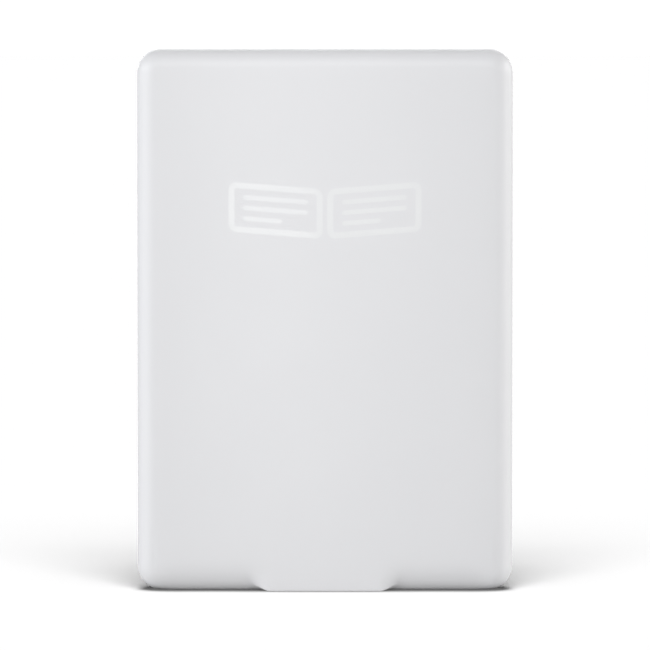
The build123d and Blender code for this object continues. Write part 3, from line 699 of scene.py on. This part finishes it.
def surface(name, light, dark, grain, depth, rough, metallic=0.0, patch=None, stretch=(1, 1, 1), **sockets):
    """A common finish: two close tones in patches, a fine grain in relief, and uneven gloss.

    grain, depth and patch are lengths. More names are sockets of the shader, such as Coat_Weight.
    """
    material, tree, shader, place = new_material(name)
    place = stretched(tree, place, stretch)
    fine = noise(tree, place, grain)
    broad = noise(tree, place, patch or grain * PATCH_GRAINS, 3.0)
    tones = blend_colours(tree, levels(tree, broad, *NOISE_MIDDLE), light, dark)
    tree.links.new(tones, shader.inputs["Base Color"])
    gloss = levels(tree, broad, *NOISE_CORE, rough * (1 - GLOSS_SPREAD), rough * (1 + GLOSS_SPREAD))
    tree.links.new(gloss, shader.inputs["Roughness"])
    shader.inputs["Metallic"].default_value = metallic
    relief(tree, shader, fine, depth)
    set_sockets(shader, {key.replace("_", " "): value for key, value in sockets.items()})
    return material


def cover_plastic():
    """White soft-touch moulding with a very fine grain."""
    material, tree, shader, place = new_material("cover_plastic")
    broad = noise(tree, place, 30 * MM, 2.0)
    share = levels(tree, broad, *NOISE_CORE)
    tones = blend_colours(tree, share, (0.838, 0.838, 0.852), (0.828, 0.828, 0.843))
    tree.links.new(tones, shader.inputs["Base Color"])
    tree.links.new(levels(tree, broad, *NOISE_CORE, 0.34, 0.38), shader.inputs["Roughness"])
    fine = noise(tree, place, 0.16 * MM, 3.0)
    relief(tree, shader, fine, 0.004 * MM, 0.5)
    set_sockets(shader, {"IOR": 1.46, "Sheen Weight": 0.03, "Sheen Roughness": 0.4})
    return material


def bezel_plastic():
    """White satin moulding of the front frame."""
    return surface("bezel_plastic", (0.83, 0.835, 0.845), (0.82, 0.825, 0.837), 0.2 * MM, 0.003 * MM, 0.36)


def button_plastic():
    """White satin moulding of the power button, a little darker with use."""
    return surface("button_plastic", 0.80, (0.77, 0.772, 0.775), 0.12 * MM, 0.002 * MM, 0.32, patch=2 * MM)


def mark_print():
    """Glossy white varnish of the printed mark."""
    return surface("mark_print", (0.90, 0.905, 0.91), (0.885, 0.89, 0.90), 0.4 * MM, 0.0008 * MM, 0.14)


def page_ink():
    """Dark grey particles of the page, a little uneven."""
    return surface("page_ink", 0.035, 0.05, 0.2 * MM, 0.001 * MM, 0.6)


def gasket_foam():
    """Black closed-cell foam."""
    material, tree, shader, place = new_material("gasket_foam")
    bubbles = cells(tree, place, 0.22 * MM)
    tones = blend_colours(tree, bubbles, 0.018, 0.05)
    tree.links.new(tones, shader.inputs["Base Color"])
    relief(tree, shader, bubbles, 0.06 * MM)
    set_sockets(shader, {"Roughness": 0.95})
    return material


def touch_glass():
    """Thin touch panel with a matt etched face. Most light goes through it."""
    material, tree, shader, place = new_material("touch_glass")
    fine = noise(tree, place, 0.06 * MM, 3.0)
    tree.links.new(levels(tree, fine, *NOISE_CORE, 0.38, 0.52), shader.inputs["Roughness"])
    relief(tree, shader, fine, 0.002 * MM, 0.6)
    veil = levels(tree, noise(tree, place, 25 * MM), *NOISE_CORE, 0.035, 0.045)
    tree.links.new(veil, shader.inputs["Alpha"])
    set_sockets(shader, {"Base Color": colour((0.72, 0.73, 0.72)), "IOR": 1.5})
    return material


def guide_plastic():
    """Clear light guide, a little milkier in places."""
    material, tree, shader, place = new_material("guide_plastic")
    haze = levels(tree, noise(tree, place, 30 * MM), *NOISE_CORE, 0.012, 0.02)
    tree.links.new(haze, shader.inputs["Alpha"])
    set_sockets(shader, {"Base Color": colour((0.85, 0.88, 0.9)), "Roughness": 0.12, "IOR": 1.49})
    return material


def pipe_plastic():
    """Milky light pipe."""
    return surface("pipe_plastic", (0.86, 0.87, 0.86), (0.8, 0.81, 0.8), 0.3 * MM, 0.001 * MM, 0.3,
                   Subsurface_Weight=0.3, Subsurface_Scale=0.001)


def ink_film():
    """Pale grey electronic paper, speckled by its capsules."""
    material, tree, shader, place = new_material("ink_film")
    capsules = noise(tree, place, 0.2 * MM, 2.0)
    cloud = noise(tree, place, 14 * MM, 3.0)
    speckle = levels(tree, capsules, *NOISE_CORE)
    paper = blend_colours(tree, speckle, (0.70, 0.705, 0.685), (0.68, 0.685, 0.665))
    # the paper is a little darker in broad random clouds
    mottle = levels(tree, cloud, *NOISE_MIDDLE, 0.0, 0.5)
    tones = blend_colours(tree, mottle, paper, (0.67, 0.675, 0.655))
    tree.links.new(tones, shader.inputs["Base Color"])
    relief(tree, shader, capsules, 0.001 * MM, 0.3)
    set_sockets(shader, {"Roughness": 0.7})
    return material


def backplane_glass():
    """Glass sheet with a fine grid of circuits."""
    material, tree, shader, place = new_material("backplane_glass")
    across = stripes(tree, place, 0.28 * MM, "X")
    along = stripes(tree, place, 0.28 * MM, "Z")
    lines = levels(tree, maths(tree, "MAXIMUM", across, along), 0.86, 0.96)
    tones = blend_colours(tree, lines, (0.035, 0.05, 0.048), (0.24, 0.26, 0.25))
    tree.links.new(tones, shader.inputs["Base Color"])
    relief(tree, shader, lines, 0.002 * MM)
    set_sockets(shader, {"Roughness": 0.08, "IOR": 1.52, "Coat Weight": 0.5, "Coat Roughness": 0.03})
    return material


def adhesive():
    """Double-sided tape, amber, with fibres."""
    return surface("adhesive", (0.42, 0.30, 0.13), (0.33, 0.22, 0.08), 0.25 * MM, 0.02 * MM, 0.35,
                   stretch=(1, 1, 0.12), Coat_Weight=0.4)


def stretch_tape():
    """White stretch-release tape."""
    return surface("stretch_tape", 0.72, 0.62, 0.3 * MM, 0.02 * MM, 0.5, stretch=(0.15, 1, 1))


def flex_film():
    """Polyimide film over fine copper tracks."""
    material, tree, shader, place = new_material("flex_film")
    tracks = levels(tree, stripes(tree, place, 0.45 * MM, "X"), 0.45, 0.6)
    cloud = noise(tree, place, 4 * MM)
    amber = blend_colours(tree, cloud, (0.42, 0.17, 0.025), (0.55, 0.25, 0.04))
    tones = blend_colours(tree, tracks, amber, (0.62, 0.33, 0.09))
    tree.links.new(tones, shader.inputs["Base Color"])
    relief(tree, shader, tracks, 0.02 * MM)
    set_sockets(shader, {"Roughness": 0.28, "Coat Weight": 0.6, "Coat Roughness": 0.15})
    return material


def diode():
    """Small light source: white package with a yellow phosphor window."""
    material, tree, shader, place = new_material("diode")
    spots = levels(tree, cells(tree, place, 0.9 * MM, randomness=0.1), 0.32, 0.38)
    tones = blend_colours(tree, spots, (0.85, 0.62, 0.12), 0.82)
    tree.links.new(tones, shader.inputs["Base Color"])
    relief(tree, shader, spots, 0.03 * MM)
    set_sockets(shader, {"Roughness": 0.3})
    return material


def circuit_board():
    """Green solder mask over tracks, with tinned vias."""
    material, tree, shader, place = new_material("circuit_board")
    inputs = {"Vector": place, "Scale": 1 / (2.2 * MM), "Randomness": 1.0}
    blocks = node(tree, "ShaderNodeTexVoronoi", inputs, distance="MANHATTAN").outputs["Color"]
    lanes = stripes(tree, place, 0.5 * MM, "X")
    rows = stripes(tree, place, 0.5 * MM, "Z")
    choice = node(tree, "ShaderNodeSeparateColor", {"Color": blocks}).outputs["Red"]
    turned = levels(tree, choice, 0.49, 0.51)
    tracks = levels(tree, blend_values(tree, turned, lanes, rows), 0.5, 0.62)
    mask = blend_colours(tree, tracks, (0.008, 0.085, 0.035), (0.02, 0.17, 0.07))
    vias = levels(tree, cells(tree, place, 1.6 * MM), 0.13, 0.16)
    tones = blend_colours(tree, vias, (0.72, 0.7, 0.62), mask)
    tree.links.new(tones, shader.inputs["Base Color"])
    tree.links.new(levels(tree, vias, 0.0, 1.0, 0.8, 0.0), shader.inputs["Metallic"])
    relief(tree, shader, tracks, 0.02 * MM)
    set_sockets(shader, {"Roughness": 0.3, "Coat Weight": 0.3})
    return material


def chip_epoxy():
    """Black moulded package with a faint grain."""
    return surface("chip_epoxy", 0.022, 0.034, 0.08 * MM, 0.006 * MM, 0.55)


def magnesium():
    """Die-cast frame with flow marks."""
    return surface("magnesium", (0.50, 0.51, 0.52), (0.42, 0.43, 0.44), 0.35 * MM, 0.03 * MM, 0.5,
                   metallic=0.9, patch=9 * MM)


def battery_pouch():
    """Embossed foil with shallow creases."""
    material, tree, shader, place = new_material("battery_pouch")
    emboss = cells(tree, place, 0.7 * MM, randomness=0.15)
    creases = noise(tree, place, 14 * MM, 4.0)
    tones = blend_colours(tree, creases, (0.66, 0.67, 0.69), (0.52, 0.53, 0.55))
    tree.links.new(tones, shader.inputs["Base Color"])
    height = maths(tree, "MULTIPLY_ADD", emboss, 0.25, creases)
    relief(tree, shader, height, 0.1 * MM)
    set_sockets(shader, {"Metallic": 0.85, "Roughness": 0.34})
    return material


def brushed(name, light, dark, rough, stretch=(1, 1, 0.05)):
    """Metal with fine lines in one direction, or with none where it isn't stretched."""
    return surface(name, light, dark, 0.06 * MM, 0.003 * MM, rough,
                   metallic=1.0, patch=3 * MM, stretch=stretch)


def wire_jacket(name, light, dark):
    """Smooth extruded insulation."""
    return surface(name, light, dark, 0.25 * MM, 0.006 * MM, 0.38,
                   patch=5 * MM, stretch=(0.3, 1, 0.3))


def antenna_film():
    """Black film antenna with a faint copper pattern under it."""
    material, tree, shader, place = new_material("antenna_film")
    loops = levels(tree, stripes(tree, place, 3 * MM, "X", 2.0), 0.7, 0.76)
    tones = blend_colours(tree, loops, 0.025, (0.11, 0.06, 0.035))
    tree.links.new(tones, shader.inputs["Base Color"])
    relief(tree, shader, loops, 0.02 * MM)
    set_sockets(shader, {"Roughness": 0.42})
    return material


def end_capped(name, body, ends, pitch):
    """Tiny ceramic parts: a body tone with bright ends, from a pattern of stripes."""
    material, tree, shader, place = new_material(name)
    caps = levels(tree, stripes(tree, place, pitch, "X"), 0.74, 0.8)
    cloud = noise(tree, place, 0.4 * MM)
    ceramic = blend_colours(tree, cloud, body, tuple(channel * 0.8 for channel in body))
    tones = blend_colours(tree, caps, ceramic, ends)
    tree.links.new(tones, shader.inputs["Base Color"])
    tree.links.new(caps, shader.inputs["Metallic"])
    relief(tree, shader, cloud, 0.01 * MM)
    set_sockets(shader, {"Roughness": 0.35})
    return material


def all_materials():
    """One material for each slot of the record, in place of the plain ones that came with the frame."""
    for plain in list(bpy.data.materials):
        bpy.data.materials.remove(plain)
    made = [
        cover_plastic(), bezel_plastic(), button_plastic(), gasket_foam(), touch_glass(), guide_plastic(),
        pipe_plastic(), ink_film(), backplane_glass(), adhesive(), stretch_tape(), flex_film(), diode(),
        circuit_board(), chip_epoxy(), magnesium(), battery_pouch(), antenna_film(),
        surface("thermal_rubber", (0.36, 0.45, 0.56), (0.32, 0.40, 0.52), 0.2 * MM, 0.02 * MM, 0.7),
        surface("connector_plastic", (0.62, 0.55, 0.42), (0.56, 0.49, 0.37), 0.1 * MM, 0.004 * MM, 0.45),
        surface("port_plastic", 0.02, 0.03, 0.1 * MM, 0.004 * MM, 0.4),
        surface("switch_plastic", 0.03, 0.045, 0.1 * MM, 0.004 * MM, 0.42),
        surface("pusher_plastic", (0.75, 0.72, 0.66), (0.7, 0.67, 0.6), 0.1 * MM, 0.003 * MM, 0.4),
        surface("ferrite", 0.05, 0.08, 0.12 * MM, 0.01 * MM, 0.6),
        brushed("spring_steel", (0.62, 0.61, 0.59), (0.5, 0.49, 0.47), 0.25),
        brushed("screw_steel", (0.16, 0.16, 0.17), (0.1, 0.1, 0.11), 0.3, (1, 1, 1)),
        brushed("shield_metal", (0.66, 0.65, 0.61), (0.56, 0.55, 0.52), 0.36),
        brushed("port_metal", (0.58, 0.58, 0.59), (0.47, 0.47, 0.48), 0.24),
        brushed("gold_plate", (0.83, 0.62, 0.27), (0.72, 0.52, 0.2), 0.22, (1, 1, 1)),
        wire_jacket("lead_red", (0.55, 0.02, 0.015), (0.45, 0.012, 0.01)),
        wire_jacket("lead_white", (0.78, 0.77, 0.74), (0.7, 0.69, 0.66)),
        wire_jacket("lead_black", (0.02, 0.02, 0.02), (0.035, 0.035, 0.035)),
        wire_jacket("cable_jacket", (0.045, 0.045, 0.05), (0.07, 0.07, 0.075)),
        end_capped("capacitor_ceramic", (0.36, 0.24, 0.14), (0.7, 0.69, 0.66), 0.5 * MM),
        end_capped("resistor_ceramic", (0.03, 0.03, 0.032), (0.7, 0.69, 0.66), 0.5 * MM),
    ]
    return {material.name: material for material in made}


def paint_frame(materials):
    """Gives every CAD node the material of its slot."""
    for row in frame["record"]["subparts"]:
        piece = frame["nodes"][row["node"]]
        for place in piece.material_slots:
            place.material = materials[row["material_slot"]]


def add_piece(piece, body, material):
    """A new piece rides on a body and takes its finish."""
    piece.data.materials.clear()
    piece.data.materials.append(material)
    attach(piece, body)


# ---------- Stage ----------
def sphere_point(azimuth, elevation, distance):
    """A place round the object's middle. Azimuth 0 is in front of the rear cover, and 90 at its right."""
    turn, rise = math.radians(azimuth), math.radians(elevation)
    side = Vector((math.sin(turn) * math.cos(rise), -math.cos(turn) * math.cos(rise), math.sin(rise)))
    return Vector((0, 0, MIDDLE_Z)) + side * distance


def aim(thing, target):
    """Turns a lamp or camera towards a place."""
    thing.rotation_euler = (target - thing.location).to_track_quat("-Z", "Y").to_euler()


def make_camera():
    """A long lens, level with the object and looking a little down on it."""
    data = bpy.data.cameras.new("camera")
    data.lens = LENS
    data.sensor_width = SENSOR
    distance = VIEW_WIDTH * LENS / SENSOR
    data.clip_end = distance * CLIP_SHARE
    camera = bpy.data.objects.new("camera", data)
    bpy.context.scene.collection.objects.link(camera)
    middle = Vector((0, 0, MIDDLE_Z))
    target = middle - Vector((0, 0, AIM_DROP / math.cos(math.radians(VIEW_ELEVATION))))
    camera.location = sphere_point(0, VIEW_ELEVATION, distance) + target - middle
    aim(camera, target)
    bpy.context.scene.camera = camera


def add_lamp(name, kind, azimuth, elevation, distance, tint):
    """A lamp aimed at the object's middle. It is out of the camera's sight."""
    data = bpy.data.lights.new(name, kind)
    data.color = tint
    lamp = bpy.data.objects.new(name, data)
    bpy.context.scene.collection.objects.link(lamp)
    lamp.location = sphere_point(azimuth, elevation, distance)
    aim(lamp, Vector((0, 0, MIDDLE_Z)))
    lamp.visible_camera = False
    return lamp


def far_lamp(name, azimuth, elevation, spread, strength, tint):
    """A far soft light, as wide as a spread in degrees. Its strength is how bright it makes plain white."""
    lamp = add_lamp(name, "SUN", azimuth, elevation, LAMP_DISTANCE, tint)
    lamp.data.angle = math.radians(spread)
    lamp.data.energy = strength * math.pi
    return lamp


def strip_lamp():
    """An upright strip close to the object, whose light falls off towards the object's sides."""
    lamp = add_lamp("front_strip", "AREA", STRIP_AZIMUTH, 0, STRIP_DISTANCE, MIDDLE_TINT)
    lamp.data.shape = "RECTANGLE"
    lamp.data.size, lamp.data.size_y = STRIP_WIDTH, STRIP_HEIGHT
    lamp.data.energy = STRIP_STRENGTH * STRIP_WIDTH * STRIP_HEIGHT * math.pi
    return lamp


def light_only(lamp, piece, state):
    """The lamp lights only this piece (INCLUDE), or all but this piece (EXCLUDE)."""
    lit = bpy.data.collections.new(lamp.name + "_lit")
    lit.objects.link(piece)
    lit.collection_objects[0].light_linking.link_state = state
    lamp.light_linking.receiver_collection = lit


def make_lamps(floor):
    """Soft lights round the object, kept off the floor, and lamps high in front for the floor alone."""
    for lamp in [far_lamp(*row) for row in FAR_LAMPS] + [strip_lamp()]:
        light_only(lamp, floor, "EXCLUDE")
    for turn in FLOOR_LAMP_TURNS:
        for rise in FLOOR_LAMP_RISES:
            name = f"floor_lamp_{turn}_{rise}"
            lamp = far_lamp(name, turn, rise, FLOOR_LAMP_SPREAD, FLOOR_LAMP_STRENGTH, MIDDLE_TINT)
            light_only(lamp, floor, "INCLUDE")


def make_world():
    """Faint even light from all round. The camera sees a white background."""
    world = bpy.data.worlds.new("studio")
    tree = empty_tree(world)
    seen = node(tree, "ShaderNodeLightPath").outputs["Is Camera Ray"]
    strength = blend_values(tree, seen, WORLD_LIGHT, BACKGROUND)
    back = node(tree, "ShaderNodeBackground", {"Color": colour(WORLD_TINT), "Strength": strength})
    node(tree, "ShaderNodeOutputWorld", {"Surface": back.outputs["Background"]})
    bpy.context.scene.world = world


def foot_distance(tree):
    """How far a place on the floor is from the object's foot."""
    place = node(tree, "ShaderNodeTexCoord").outputs["Object"]
    axes = node(tree, "ShaderNodeSeparateXYZ", {"Vector": place})
    half_foot = COVER_HALF_WIDTH, (BEZEL_HIGH.y - BEZEL_LOW.y) / 2
    beyond = []
    for axis, half in zip("XY", half_foot):
        size = maths(tree, "ABSOLUTE", axes.outputs[axis])
        beyond.append(maths(tree, "SUBTRACT", size, half))
    return maths(tree, "MAXIMUM", *beyond)


def floor_white():
    """White for the floor, with a painted contact shadow where the object is close over it and a painted
    glow in the darkest of that shadow. It is clear from below.

    To the object it gives back less light than the camera sees, and least at the object's foot, as painted
    shade for the object's lowest parts.
    """
    material = bpy.data.materials.new("floor")
    tree = empty_tree(material)
    # painted shade: near its foot the floor gives the object less light
    bounce = levels(tree, foot_distance(tree), 0.0, FOOT_SHADE, FOOT_BOUNCE, BOUNCE)
    seen = node(tree, "ShaderNodeLightPath").outputs["Is Camera Ray"]
    open_sky = node(tree, "ShaderNodeAmbientOcclusion", {"Distance": CONTACT_REACH}).outputs["AO"]
    # painted contact shadow: the camera sees the floor darker where the object is close over it
    contact = levels(tree, open_sky, *CONTACT_COVER, CONTACT_TONE * FLOOR_TONE, FLOOR_TONE)
    # painted glow: the camera sees a faint light in the darkest part of the painted contact shadow
    painted_glow = levels(tree, open_sky, *CONTACT_COVER, CONTACT_GLOW, 0.0)
    diffuse = node(tree, "ShaderNodeBsdfDiffuse", {"Color": blend_values(tree, seen, bounce, contact)})
    glow = node(tree, "ShaderNodeEmission", {"Strength": maths(tree, "MULTIPLY", seen, painted_glow)})
    white = node(tree, "ShaderNodeAddShader", {0: diffuse.outputs["BSDF"], 1: glow.outputs["Emission"]})
    clear = node(tree, "ShaderNodeBsdfTransparent")
    below = node(tree, "ShaderNodeNewGeometry").outputs["Backfacing"]
    inputs = {0: below, 1: white.outputs["Shader"], 2: clear.outputs["BSDF"]}
    mixed = node(tree, "ShaderNodeMixShader", inputs)
    node(tree, "ShaderNodeOutputMaterial", {"Surface": mixed.outputs["Shader"]})
    return material


def make_floor():
    """A wide floor under the object."""
    mesh = bmesh.new()
    corners = rectangle((0, 0), FLOOR_HALF, FLOOR_HALF)
    mesh.faces.new([mesh.verts.new((x, y, FLOOR - FLOOR_GAP)) for x, y in corners])
    floor = object_from(mesh, "floor")
    floor.data.materials.append(floor_white())
    return floor


# ---------- The scene ----------
materials = all_materials()
paint_frame(materials)

make_camera()
make_lamps(make_floor())
make_world()
bpy.context.scene.view_settings.view_transform = "Standard"

shell = rear_shell()
add_piece(shell, "root", materials["cover_plastic"])
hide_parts("rear_cover")

mark = printed_mark()
add_piece(mark, "root", mark_print())

film = screen_film()
add_piece(film, "root", materials["ink_film"])
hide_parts("display_film")

page = screen_page()
add_piece(page, "root", page_ink())
